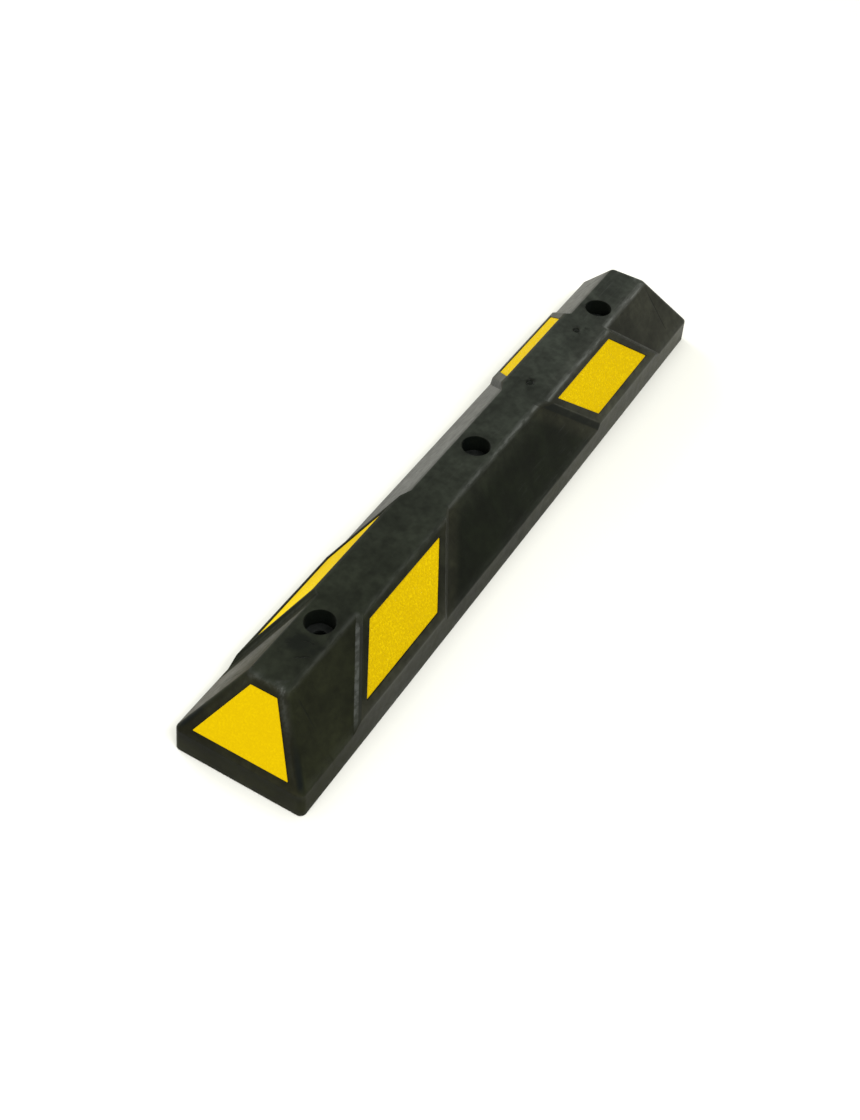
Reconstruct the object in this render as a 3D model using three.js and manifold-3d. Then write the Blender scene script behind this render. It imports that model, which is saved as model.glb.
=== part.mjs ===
// A moulded rubber wheel stop, 900 x 150 x 100 mm: a long block with a low upright wall, four
// sloping faces and a narrow flat top. Four raised pads on its long slopes and its two end slopes
// carry yellow reflective panels. Three counterbored bolt holes go down through the top, each with
// a steel washer moulded into its seat. The underside is relieved by pockets between solid bosses.
//
// Millimetres, +Z up, +X along the block. The origin is the centre of the footprint, on the ground.
import * as THREE from "three";
import { ConvexGeometry } from "three/addons/geometries/ConvexGeometry.js";
import { mergeVertices } from "three/addons/utils/BufferGeometryUtils.js";
import Module from "manifold-3d";

const wasm = await Module();
wasm.setup();

// Block
const LENGTH = 900;
const WIDTH = 150;
const HEIGHT = 100;
const WALL_HEIGHT = 30.5; // the upright wall below the slopes
const WALL_DRAFT = 1; // how far the wall leans in over its height
const TOP_LENGTH = 795;
const TOP_WIDTH = 45;
const WALL_CORNER = 6.5; // plan radius of the four upright corners
const TOP_CORNER = 5; // plan radius of the four corners of the top
const CORNER_STEPS = 5;
const EDGE_ROUND = 4; // radius along the edges of the top and the wall
const EDGE_STEPS = 3;
const FOOT_CHAMFER = 1; // small broken edge round the base

// Raised pads. Places along a slope are x, the distance from the block's middle, and drop, the
// distance down the slope from the edge of the top. A pad's two ends lean outwards as they go down.
const PAD_RISE = 4.5;
const PAD_MID_DROP = 41;
const PAD_INNER = 150; // x of the pad's inner and outer ends at PAD_MID_DROP
const PAD_OUTER = 310;
const PAD_LEAN = 0.93; // x travelled per unit of drop
const PAD_INNER_RUN = 12.5; // x covered by the sloping step at a pad's inner end
const PAD_OUTER_RUN = 10; // the same at its outer end
const PAD_REACH = 30; // how far the uncut pad runs past the slope, above and below
const PAD_ROOT = 6; // how deep the uncut pad is sunk into the block

// Reflective panels
const PANEL_THICKNESS = 0.7;
const PANEL_GAP = 0.3; // clearance under and around a panel
const PAD_PANEL_FLOOR = 2.4; // height of a side panel's bed above the slope
const SIDE_PANEL_DROP = [14, 70.3]; // from and to, down the slope
const SIDE_PANEL_INNER = 136.8; // x at the panel's upper edge
const SIDE_PANEL_OUTER = 273.1;
const SIDE_PANEL_LEAN = 0.975;
const END_PANEL_FLOOR = -0.6; // the end panels lie in a shallow bed in the plain slope
const END_PANEL_DROP = [10.8, 78.9];
const END_PANEL_TOP_WIDTH = 29.8;
const END_PANEL_FOOT_WIDTH = 109;

// Bolt holes
const HOLE_PITCH = 310;
const HOLE_SIDES = 32;
const BORE_RADIUS = 7;
const COUNTERBORE_RADIUS = 16;
const COUNTERBORE_DEPTH = 20;
const MOUTH_CHAMFER = 1.5;
const WASHER_SEAT_RADIUS = 15.5; // the bare middle, which the bolt head bears on
const WASHER_THICKNESS = 3;
const WASHER_RIM_RADIUS = 22; // the thinner rim, held under a lip of rubber
const WASHER_RIM_THICKNESS = 2.2;
const WASHER_BORE = 6.8;
const WASHER_GAP = 0.3;

// Pockets under the block, in two rows, between solid bosses around the bolt holes
const BOSS_HALF = 30;
const POCKET_LENGTH = 74;
const POCKET_WIDTH = 46;
const POCKET_DEPTH = 25;
const POCKET_RIB = 14;
const POCKET_DRAFT = 4; // how far each pocket wall leans in over its depth
const POCKET_ROW = 31; // y of the middle of each row
const POCKETS_PER_BAY = 3;

const CUT_MARGIN = 2; // how far a cutting tool runs past the surface that it cuts

const MATERIALS = {
  rubber: new THREE.MeshStandardMaterial({ color: 0x3a3b37, roughness: 0.78, metalness: 0 }),
  panel: new THREE.MeshStandardMaterial({ color: 0xe8c40c, roughness: 0.45, metalness: 0 }),
  steel: new THREE.MeshStandardMaterial({ color: 0x6f7173, roughness: 0.5, metalness: 0.9 }),
};

// ---- helpers ------------------------------------------------------------------------------------

function toSolid(geometry) {
  const plain = geometry.clone();
  plain.deleteAttribute("normal");
  plain.deleteAttribute("uv");
  const merged = mergeVertices(plain, 1e-4);
  return new wasm.Manifold(
    new wasm.Mesh({
      numProp: 3,
      vertProperties: new Float32Array(merged.attributes.position.array),
      triVerts: new Uint32Array(merged.index.array),
    }),
  );
}

function toGeometry(solid) {
  const { vertProperties, triVerts } = solid.getMesh();
  const geometry = new THREE.BufferGeometry();
  geometry.setAttribute("position", new THREE.BufferAttribute(vertProperties, 3));
  geometry.setIndex(new THREE.BufferAttribute(triVerts, 1));
  geometry.computeVertexNormals();
  return geometry;
}

function hull(points) {
  return toSolid(new ConvexGeometry(points));
}

function cylinder(radius, low, high, topRadius = radius) {
  return toSolid(
    new THREE.CylinderGeometry(topRadius, radius, high - low, HOLE_SIDES)
      .rotateX(Math.PI / 2)
      .translate(0, 0, (low + high) / 2),
  );
}

function namedMesh(name, geometry, material) {
  const mesh = new THREE.Mesh(geometry, material);
  mesh.name = name;
  return mesh;
}

// ---- the slopes ---------------------------------------------------------------------------------

const WALL_TOP_Y = WIDTH / 2 - WALL_DRAFT;
const WALL_TOP_X = LENGTH / 2 - WALL_DRAFT;

// A slope is the plane from an edge of the top down to the wall. Its frame has `down`, the unit
// vector down the slope, and `out`, the unit normal; all four slopes fall at the same angle.
const SLOPE_RUN = WALL_TOP_Y - TOP_WIDTH / 2;
const SLOPE_FALL = HEIGHT - WALL_HEIGHT;
const SLOPE_LENGTH = Math.hypot(SLOPE_RUN, SLOPE_FALL);
const DOWN_OUTWARD = SLOPE_RUN / SLOPE_LENGTH;
const DOWN_FALL = SLOPE_FALL / SLOPE_LENGTH;

// A point on a long slope. side is +1 or -1, the sign of y.
function onSide(side, x, drop, rise) {
  const outward = TOP_WIDTH / 2 + drop * DOWN_OUTWARD + rise * DOWN_FALL;
  return new THREE.Vector3(x, side * outward, HEIGHT - drop * DOWN_FALL + rise * DOWN_OUTWARD);
}

// A point on an end slope. end is +1 or -1, the sign of x.
function onEnd(end, y, drop, rise) {
  const outward = TOP_LENGTH / 2 + drop * DOWN_OUTWARD + rise * DOWN_FALL;
  return new THREE.Vector3(end * outward, y, HEIGHT - drop * DOWN_FALL + rise * DOWN_OUTWARD);
}

// ---- the block ----------------------------------------------------------------------------------

// A level rectangle with rounded corners, as a ring of points.
function ring(halfLength, halfWidth, radius, z) {
  const points = [];
  for (const [sx, sy, start] of [[1, 1, 0], [-1, 1, 1], [-1, -1, 2], [1, -1, 3]]) {
    for (let i = 0; i <= CORNER_STEPS; i++) {
      const angle = ((start + i / CORNER_STEPS) * Math.PI) / 2;
      const x = sx * (halfLength - radius) + radius * Math.cos(angle);
      const y = sy * (halfWidth - radius) + radius * Math.sin(angle);
      points.push(new THREE.Vector3(x, y, z));
    }
  }
  return points;
}

// Rounds the corner of the block's section at `corner` between directions `from` and `to`; the
// section is drawn with u, the inset from the footprint, and z.
function roundedCorner(corner, from, to, radius) {
  const half = Math.acos(THREE.MathUtils.clamp(from.dot(to), -1, 1)) / 2;
  const reach = radius / Math.tan(half);
  const start = corner.clone().addScaledVector(from, reach);
  const finish = corner.clone().addScaledVector(to, reach);
  const curve = new THREE.QuadraticBezierCurve(start, corner, finish);
  return curve.getPoints(EDGE_STEPS);
}

function block() {
  const wallTop = new THREE.Vector2(WALL_DRAFT, WALL_HEIGHT);
  const topEdge = new THREE.Vector2(WALL_DRAFT + SLOPE_RUN, HEIGHT);
  const wallDown = new THREE.Vector2(-WALL_DRAFT, -WALL_HEIGHT).normalize();
  const slopeUp = topEdge.clone().sub(wallTop).normalize();
  const inward = new THREE.Vector2(1, 0);
  const section = [
    new THREE.Vector2(FOOT_CHAMFER, 0),
    new THREE.Vector2(0, FOOT_CHAMFER),
    ...roundedCorner(wallTop, wallDown, slopeUp, EDGE_ROUND),
    ...roundedCorner(topEdge, slopeUp.clone().negate(), inward, EDGE_ROUND),
  ];
  const points = section.flatMap(({ x: inset, y: z }) => {
    const blend = THREE.MathUtils.clamp((z - WALL_HEIGHT) / SLOPE_FALL, 0, 1);
    const radius = THREE.MathUtils.lerp(WALL_CORNER, TOP_CORNER, blend);
    return ring(LENGTH / 2 - inset, WIDTH / 2 - inset, radius, z);
  });
  return hull(points);
}

// The wall's planes carried on up to the top: nothing stands proud of this.
function wallEnvelope() {
  const lean = (WALL_DRAFT * HEIGHT) / WALL_HEIGHT;
  return hull([
    ...ring(LENGTH / 2, WIDTH / 2, WALL_CORNER, 0),
    ...ring(LENGTH / 2 - lean, WIDTH / 2 - lean, WALL_CORNER, HEIGHT),
  ]);
}

// A raised pad: a slab on the slope whose ends lean, with a sloping step at each end. It is cut
// level with the top and flush with the wall by the envelope.
function pad(side, end) {
  const points = [];
  const toRoot = 1 + PAD_ROOT / PAD_RISE;
  const innerRoot = PAD_INNER - PAD_INNER_RUN * toRoot;
  const outerRoot = PAD_OUTER + PAD_OUTER_RUN * toRoot;
  for (const drop of [-PAD_REACH, SLOPE_LENGTH + PAD_REACH]) {
    const lean = PAD_LEAN * (drop - PAD_MID_DROP);
    points.push(onSide(side, end * (PAD_INNER + lean), drop, PAD_RISE));
    points.push(onSide(side, end * (PAD_OUTER + lean), drop, PAD_RISE));
    points.push(onSide(side, end * (innerRoot + lean), drop, -PAD_ROOT));
    points.push(onSide(side, end * (outerRoot + lean), drop, -PAD_ROOT));
  }
  return hull(points).intersect(wallEnvelope());
}

// ---- reflective panels --------------------------------------------------------------------------

// The panel's own solid, or the bed cut for it when `grow` is more than 0.
function sidePanel(side, end, low, high, grow = 0) {
  const points = [];
  const [upper, lower] = SIDE_PANEL_DROP;
  for (const drop of [upper - grow, lower + grow]) {
    const lean = SIDE_PANEL_LEAN * (drop - upper);
    for (const rise of [low, high]) {
      points.push(onSide(side, end * (SIDE_PANEL_INNER + lean - grow), drop, rise));
      points.push(onSide(side, end * (SIDE_PANEL_OUTER + lean + grow), drop, rise));
    }
  }
  return hull(points);
}

function endPanel(end, low, high, grow = 0) {
  const points = [];
  const [upper, lower] = END_PANEL_DROP;
  for (const [drop, width] of [
    [upper - grow, END_PANEL_TOP_WIDTH],
    [lower + grow, END_PANEL_FOOT_WIDTH],
  ]) {
    for (const rise of [low, high]) {
      points.push(onEnd(end, -width / 2 - grow, drop, rise));
      points.push(onEnd(end, width / 2 + grow, drop, rise));
    }
  }
  return hull(points);
}

function panels() {
  const pieces = [];
  for (const [end, endName] of [[-1, "front"], [1, "rear"]]) {
    for (const [side, sideName] of [[-1, "right"], [1, "left"]]) {
      const low = PAD_PANEL_FLOOR + PANEL_GAP;
      pieces.push({
        name: `reflector_${sideName}_${endName}`,
        solid: sidePanel(side, end, low, low + PANEL_THICKNESS),
        bed: sidePanel(side, end, PAD_PANEL_FLOOR, PAD_RISE + CUT_MARGIN, PANEL_GAP),
      });
    }
    const low = END_PANEL_FLOOR + PANEL_GAP;
    pieces.push({
      name: `reflector_end_${endName}`,
      solid: endPanel(end, low, low + PANEL_THICKNESS),
      bed: endPanel(end, END_PANEL_FLOOR, CUT_MARGIN, PANEL_GAP),
    });
  }
  return pieces;
}

// ---- bolt holes ---------------------------------------------------------------------------------

const SEAT_Z = HEIGHT - COUNTERBORE_DEPTH;
const HOLES = [[-HOLE_PITCH, "front"], [0, "centre"], [HOLE_PITCH, "rear"]];

function boltHole() {
  const mouth = COUNTERBORE_RADIUS + MOUTH_CHAMFER;
  const counterbore = cylinder(COUNTERBORE_RADIUS, SEAT_Z - WASHER_THICKNESS, HEIGHT + CUT_MARGIN);
  const chamfer = cylinder(COUNTERBORE_RADIUS, HEIGHT - MOUTH_CHAMFER, HEIGHT, mouth);
  const washerFoot = SEAT_Z - WASHER_THICKNESS;
  const washerBed = cylinder(
    WASHER_RIM_RADIUS + WASHER_GAP,
    washerFoot - WASHER_GAP,
    washerFoot + WASHER_RIM_THICKNESS + WASHER_GAP,
  );
  const bore = cylinder(BORE_RADIUS, -CUT_MARGIN, HEIGHT);
  return counterbore.add(chamfer).add(washerBed).add(bore);
}

function washerGeometry() {
  const profile = [
    [WASHER_BORE, 0],
    [WASHER_RIM_RADIUS, 0],
    [WASHER_RIM_RADIUS, WASHER_RIM_THICKNESS],
    [WASHER_SEAT_RADIUS, WASHER_RIM_THICKNESS],
    [WASHER_SEAT_RADIUS, WASHER_THICKNESS],
    [WASHER_BORE, WASHER_THICKNESS],
    [WASHER_BORE, 0],
  ].map(([radius, height]) => new THREE.Vector2(radius, height));
  return new THREE.LatheGeometry(profile, HOLE_SIDES).rotateX(Math.PI / 2);
}

// ---- pockets under the block --------------------------------------------------------------------

function pocket(x, y) {
  const points = [];
  for (const [z, inset] of [
    [-CUT_MARGIN, (-CUT_MARGIN * POCKET_DRAFT) / POCKET_DEPTH],
    [POCKET_DEPTH, POCKET_DRAFT],
  ]) {
    for (const sx of [-1, 1]) {
      for (const sy of [-1, 1]) {
        const px = x + sx * (POCKET_LENGTH / 2 - inset);
        const py = y + sy * (POCKET_WIDTH / 2 - inset);
        points.push(new THREE.Vector3(px, py, z));
      }
    }
  }
  return hull(points);
}

// Middles of the pockets along the block: a bay of three each side of the centre boss, and one
// beyond each outer boss.
function pocketMiddles() {
  const middles = [];
  for (const end of [-1, 1]) {
    for (let i = 0; i < POCKETS_PER_BAY; i++) {
      middles.push(end * (BOSS_HALF + POCKET_LENGTH / 2 + i * (POCKET_LENGTH + POCKET_RIB)));
    }
    middles.push(end * (HOLE_PITCH + BOSS_HALF + POCKET_LENGTH / 2));
  }
  return middles;
}

// ---- assembly -----------------------------------------------------------------------------------

function rubberBody(beds) {
  let body = block();
  for (const side of [-1, 1]) {
    for (const end of [-1, 1]) body = body.add(pad(side, end));
  }
  for (const bed of beds) body = body.subtract(bed);
  for (const [x] of HOLES) body = body.subtract(boltHole().translate([x, 0, 0]));
  for (const x of pocketMiddles()) {
    for (const row of [-1, 1]) body = body.subtract(pocket(x, row * POCKET_ROW));
  }
  return body;
}

const wheelStop = new THREE.Group();
const reflectors = panels();

const bodySolid = rubberBody(reflectors.map(({ bed }) => bed));
wheelStop.add(namedMesh("rubber_body", toGeometry(bodySolid), MATERIALS.rubber));

for (const { name, solid } of reflectors) {
  wheelStop.add(namedMesh(name, toGeometry(solid), MATERIALS.panel));
}

for (const [x, place] of HOLES) {
  const washer = namedMesh(`seat_washer_${place}`, washerGeometry(), MATERIALS.steel);
  washer.position.set(x, 0, SEAT_Z - WASHER_THICKNESS);
  wheelStop.add(washer);
}

export default wheelStop;
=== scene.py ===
# A moulded rubber wheel stop with yellow reflective panels, on a plain pale floor.
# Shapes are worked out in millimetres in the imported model's frame, and scaled to metres when meshed.
import math

import bmesh
import bpy
from mathutils import Matrix, Vector


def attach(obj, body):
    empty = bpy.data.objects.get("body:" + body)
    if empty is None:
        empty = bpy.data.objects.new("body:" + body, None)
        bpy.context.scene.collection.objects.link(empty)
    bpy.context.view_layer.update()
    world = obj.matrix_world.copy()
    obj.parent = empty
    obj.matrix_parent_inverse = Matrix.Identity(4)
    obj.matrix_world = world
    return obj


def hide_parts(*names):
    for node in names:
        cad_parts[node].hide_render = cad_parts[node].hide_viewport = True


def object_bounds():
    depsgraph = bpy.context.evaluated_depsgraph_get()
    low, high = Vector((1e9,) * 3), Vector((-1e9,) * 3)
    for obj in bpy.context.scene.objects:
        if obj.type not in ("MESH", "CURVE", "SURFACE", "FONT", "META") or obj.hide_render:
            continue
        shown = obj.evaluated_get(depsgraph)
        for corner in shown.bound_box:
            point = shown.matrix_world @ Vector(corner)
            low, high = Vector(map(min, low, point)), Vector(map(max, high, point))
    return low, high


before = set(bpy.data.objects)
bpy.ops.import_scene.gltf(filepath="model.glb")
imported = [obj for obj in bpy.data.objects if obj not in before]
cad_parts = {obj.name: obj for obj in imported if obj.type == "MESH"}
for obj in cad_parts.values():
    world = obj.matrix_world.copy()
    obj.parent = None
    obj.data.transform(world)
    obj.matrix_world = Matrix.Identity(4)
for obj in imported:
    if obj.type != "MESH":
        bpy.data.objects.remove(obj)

CAD_BOUNDS = [list(corner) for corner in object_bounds()]
MM = 0.001

# ---- driving sizes, millimetres ------------------------------------------------------------------

WIDTH, HEIGHT = [round((b - a) / MM, 3) for a, b in zip(*CAD_BOUNDS)][1:]
WALL_HEIGHT = 30.5
WALL_DRAFT = 1.0
TOP_LENGTH = 795.0
TOP_WIDTH = 45.0

RIDGE_RADIUS = 6.0        # along the edges of the top
LEFT_RIDGE_RADIUS = 3.0   # the left one is sharper
RIDGE_FLANK = 1.5         # width of the strip beside the rounding over which its wear and painted highlight fade
WALL_EDGE_RADIUS = 5.0    # where the slopes meet the wall
FOOT_RADIUS = 1.5         # round the base
WALL_CORNER = 6.5         # plan radius of the upright corners
TOP_CORNER = 5.5          # plan radius at the corners of the top
EDGE_STEPS = 6
CORNER_STEPS = 12
ROUND_STEPS = 4           # in the small rounds of holes, pockets and panel corners

PAD_RISE = 4.5
PAD_MID_DROP = 41.0
PAD_INNER, PAD_OUTER = 150.0, 310.0
PAD_LEAN = 0.93
PAD_INNER_RUN = 12.5
PAD_OUTER_RUN = 10.0

PIECE_GAP = 0.3           # between neighbouring pieces
PAD_BED_DEPTH = 2.1
SIDE_BED_DROP = (13.7, 70.6)
SIDE_BED_INNER, SIDE_BED_OUTER = 162.8, 299.7   # x at PAD_MID_DROP
SIDE_BED_LEAN = 0.975
END_BED_DEPTH = 0.6
END_BED_DROP = (10.5, 79.2)
END_BED_HALF = 15.2       # half width at the upper edge
END_BED_SPREAD = 0.5815   # half width gained per unit of drop

CREASE_X, CREASE_LEAN = 394.1, 0.065            # faint mould line beside each hip
CREASE_DEPTH = 0.3
CREASE_CLEARANCE = 3.0                          # kept between the line and the hip's rounding
CREASE_PROFILE = [(-1.4, 0), (-0.7, 0.5), (0, 1), (0.7, 0.5), (1.4, 0)]  # offset, share of depth
CREASE_FADE_IN = (8, 22)                        # drops
CREASE_FADE_OUT = {-1: (38, 58), 1: (58, 78)}   # drops, on the front half and on the rear half

HOLE_X = (-310.0, 0.0, 310.0)
VENTS = [(253.7, 2.4), (132.7, 2.7)]            # small ring marks that the mould leaves in the top
HOLE_SIDES = 72
BORE_RADIUS = 7.0
COUNTERBORE_RADIUS = 16.0
MOUTH_RADIUS = 16.7
MOUTH_ROUNDING = 0.6
VENT_PROFILE = [          # radius, depth
    (5.2, 0.0), (4.9, 0.1), (4.4, 0.7), (3.7, 1.2), (3.0, 1.2), (2.3, 0.7), (1.6, 0.4), (0.7, 0.35)
]
SEAT_Z = 80.0
WASHER_THICKNESS = 3.0
WASHER_RIM_THICKNESS = 2.2
WASHER_RIM_RADIUS = 22.0
WASHER_SEAT_RADIUS = 15.5
WASHER_BORE = 6.8

BOSS_HALF = 30.0
POCKET_LENGTH, POCKET_WIDTH, POCKET_DEPTH = 74.0, 46.0, 25.0
POCKET_RIB = 14.0
POCKET_DRAFT = 4.0
POCKET_ROW = 31.0
POCKET_CORNER = 5.0
POCKET_FLOOR_RADIUS = 3.0
POCKET_MOUTH = 0.8        # bevel round the opening

PANEL_CORNER = 0.5
PANEL_EDGE = 0.25
PANEL_EDGE_STEPS = 3

# ---- wear and painted light: 1 is bare and highlit, and below 0 is painted shade -----------------

RIDGE_WEAR_AND_HIGHLIGHT = (0.2, 0.3, 0.5, 0.8, 1.0, 0.95, 0.6)  # wear and painted highlight across the rounding, from the top to the slope
RIDGE_WEAR_AND_HIGHLIGHT_FADE = ((1.0, 0.25), (2.3, 0.0))        # below it: distance in flanks, wear and painted highlight
LONG_RIDGE_WEAR_AND_HIGHLIGHT = (0.23, 0.61, 0.12)  # share at the front, and what the middle and the rear add
LEFT_RIDGE_WEAR_AND_HIGHLIGHT = 0.1     # share on the left ridge
STEP_RIDGE_WEAR_AND_HIGHLIGHT = 0.35    # share above the painted shade on the pads' end steps
END_RIDGE_WEAR_AND_HIGHLIGHT = 0.24     # share on the short ridges
EDGE_REACH = 8.0          # height below an edge within which the rows belong to its rounding
WALL_EDGE_WEAR = 0.08
END_WALL_EDGE_WEAR = 0.3  # share of it on the ends
FOOT_WEAR = 0.1

# Painted shade on the faces of the pads' inner steps, and painted highlight on the steps' feet and
# edges.
INNER_STEP_SHADE = -0.65
FRONT_STEP_SHADE = 0.3    # share of it on the front pads
INNER_STEP_HIGHLIGHT = 0.2     # painted highlight at the inner steps' edges
OUTER_STEP_HIGHLIGHT = 0.5     # painted highlight on the foot's half of the outer steps
OUTER_STEP_SHADE = 0.8     # how much less it is on the other half, where it turns to painted shade
OUTER_EDGE_HIGHLIGHT = 0.42    # how much painted highlight comes back at their edges
REAR_STEP_HIGHLIGHT = 0.5      # share of the painted highlight on the rear pads' outer steps
LEFT_STEP_HIGHLIGHT = 0.2      # share of the painted highlight on the left pads' steps
STEP_HIGHLIGHT_FADE = (71, 84)                   # drops over which the painted highlight fades
# painted shade along the faint mould lines
CREASE_SHADE = -0.45
REAR_CREASE = 1.5         # the painted shade is darker in the rear mould lines

# Painted highlight in a band beside the hips and at the corners of the top, and painted shade low on
# the hips.
HIP_HIGHLIGHT = 0.26
HIP_HIGHLIGHT_PLACE, HIP_HIGHLIGHT_REACH = 2.2, 4.0   # from where the hip's rounding starts
LEFT_HIP_HIGHLIGHT = 0.35      # share of the painted highlight beside the left hips
HIP_FOOT_SHADE = -0.9     # painted shade on the lower part of the hips
CORNER_SPOT = 1.5         # extra painted highlight at the corners of the top

# Painted shade inside the bolt holes and the vent grooves.
HOLE_SHADE = -0.75
VENT_SHADE = -0.75        # painted shade per millimetre of depth

# ---- the slopes ----------------------------------------------------------------------------------

SLOPE_RUN = WIDTH / 2 - WALL_DRAFT - TOP_WIDTH / 2
SLOPE_FALL = HEIGHT - WALL_HEIGHT
SLOPE_LENGTH = math.hypot(SLOPE_RUN, SLOPE_FALL)
OUTWARD = SLOPE_RUN / SLOPE_LENGTH      # outward travel per unit of drop, or height per unit of rise
FALL = SLOPE_FALL / SLOPE_LENGTH        # fall per unit of drop, or outward travel per unit of rise
FOOT_OUT = (WIDTH - TOP_WIDTH) / 2      # from the edge of the top out to the footprint
WALL_SLANT = WALL_DRAFT / WALL_HEIGHT


def on_slope(drop, rise=0.0):
    """A point of the section: distance out from the edge of the top, and height."""
    return Vector((drop * OUTWARD + rise * FALL, HEIGHT - drop * FALL + rise * OUTWARD))


def drop_of(point, rise):
    return (HEIGHT + rise * OUTWARD - point.y) / FALL


def fillet(corner, back, ahead, radius, steps):
    """Points of the arc that rounds a corner, from the side of `back` to the side of `ahead`."""
    half = back.angle(ahead) / 2
    middle = corner + (back + ahead).normalized() * (radius / math.sin(half))
    reach = radius / math.tan(half)
    first = corner + back * reach - middle
    last = corner + ahead * reach - middle
    turn = first.angle_signed(last)
    return [middle + Matrix.Rotation(-turn * i / steps, 2) @ first for i in range(steps + 1)]


def smooth_ramp(value, low, high):
    t = min(max((value - low) / (high - low), 0.0), 1.0)
    return t * t * (3 - 2 * t)


# ---- rows: the block's section, from the top's edge down to the base -----------------------------

BED_LIP = [(-1.1, 0.0), (-0.5, 0.07), (-0.15, 0.28), (0.0, 0.6), (0.05, 1.0)]   # offset, share of depth


def slope_rows(first, bed, last):
    """(drop, share of the bed's depth) down a slope that has a bed from bed[0] to bed[1]."""
    rows = [(first, 0.0)]
    rows += [(bed[0] + offset, share) for offset, share in BED_LIP]
    rows += [(bed[0] + (bed[1] - bed[0]) * i / 8, 1.0) for i in range(1, 8)]
    rows += [(bed[1] - offset, share) for offset, share in reversed(BED_LIP)]
    rows.append((last, 0.0))
    return rows


SIDE_ROWS = slope_rows(11.0, SIDE_BED_DROP, 76.0)
END_ROWS = slope_rows(8.0, END_BED_DROP, 81.5)
WALL_ROWS = 4


def section(rise, rows, bed_depth, bed_share, ridge_radius=RIDGE_RADIUS):
    """The section of one column as (out, z, drop, wear and painted light) for every row of the mesh."""
    top = Vector((rise / FALL, HEIGHT))
    slant = FOOT_OUT - WALL_SLANT * HEIGHT - rise * (FALL + WALL_SLANT * OUTWARD)
    wall_drop = slant / (OUTWARD - WALL_SLANT * FALL)
    wall_top = on_slope(wall_drop, rise)
    foot = Vector((FOOT_OUT, 0.0))
    down = (wall_top - top).normalized()
    wall_down = (foot - wall_top).normalized()
    inward = Vector((-1.0, 0.0))
    ridge = fillet(top, inward, down, ridge_radius, EDGE_STEPS)
    points = [(ridge[0] + inward * RIDGE_FLANK, 0.0, 0.0)]
    for i, p in enumerate(ridge):
        points.append((p, drop_of(p, rise), RIDGE_WEAR_AND_HIGHLIGHT[i]))
    for step, wear_and_painted_light in RIDGE_WEAR_AND_HIGHLIGHT_FADE:
        below = ridge[-1] + down * RIDGE_FLANK * step
        points.append((below, drop_of(below, rise), wear_and_painted_light))
    for drop, share in rows:
        sunk = rise - bed_depth * bed_share * share
        points.append((on_slope(drop, sunk), drop, 0.0))
    for p in fillet(wall_top, -down, wall_down, WALL_EDGE_RADIUS, EDGE_STEPS):
        points.append((p, min(drop_of(p, rise), wall_drop), WALL_EDGE_WEAR))
    lowest = fillet(foot, -wall_down, inward, FOOT_RADIUS, EDGE_STEPS // 2)
    highest = points[-1][0]
    for i in range(1, WALL_ROWS):
        points.append((highest.lerp(lowest[0], i / WALL_ROWS), wall_drop, 0.0))
    points += [(p, wall_drop, FOOT_WEAR) for p in lowest]
    return [(p.x, p.y, drop, wear_and_painted_light) for p, drop, wear_and_painted_light in points]


# ---- columns: round the block, anticlockwise from above ------------------------------------------

def corner_radius(z):
    return WALL_CORNER + (TOP_CORNER - WALL_CORNER) * smooth_ramp(z, WALL_HEIGHT, HEIGHT)


def hip_x(out, z):
    return TOP_LENGTH / 2 + out - corner_radius(z)


def hip_y(out, z):
    return TOP_WIDTH / 2 + out - corner_radius(z)


def leaning(middle, lean):
    return lambda out, z, drop: middle + lean * (drop - PAD_MID_DROP)


def crease_line(out, z, drop):
    return min(CREASE_X + CREASE_LEAN * (drop - PAD_MID_DROP), hip_x(out, z) - CREASE_CLEARANCE)


# Lines down a long side that its columns lie between. Each gives x, from a point's out, z and drop.
GUIDES = {
    "middle": lambda out, z, drop: 0.0,
    "inner_foot": leaning(PAD_INNER - PAD_INNER_RUN, PAD_LEAN),
    "inner_edge": leaning(PAD_INNER, PAD_LEAN),
    "bed_inner": leaning(SIDE_BED_INNER, SIDE_BED_LEAN),
    "bed_outer": leaning(SIDE_BED_OUTER, SIDE_BED_LEAN),
    "outer_edge": leaning(PAD_OUTER, PAD_LEAN),
    "outer_foot": leaning(PAD_OUTER + PAD_OUTER_RUN, PAD_LEAN),
    "crease": crease_line,
    "hip": lambda out, z, drop: hip_x(out, z),
}
STEP_PLACES = [0.0, 0.05, 0.1, 0.15, 0.2, 0.35, 0.5, 0.65, 0.8, 0.87, 0.94, 1.0]
STEP_SOFTNESS = 0.2


def step_height(t):
    """Height of a pad's end step, 0 to 1, with a fillet at its foot and a round at its edge."""
    s = STEP_SOFTNESS
    if t < s:
        return t * t / (2 * s * (1 - s))
    if t > 1 - s:
        return 1 - (1 - t) ** 2 / (2 * s * (1 - s))
    return (t - s / 2) / (1 - s)


def column(a, b, t, height=0.0, bed=0.0, wear_and_painted_light=0.0, offset=0.0, groove=0.0):
    """A column at share `t` of the way from guide `a` to guide `b`, plus an offset in millimetres. The
    height, bed and groove are shares of the pad's rise, the bed's depth and the mould line's depth."""
    return dict(a=a, b=b, t=t, height=height, bed=bed, wear_and_painted_light=wear_and_painted_light, offset=offset, groove=groove)


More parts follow.
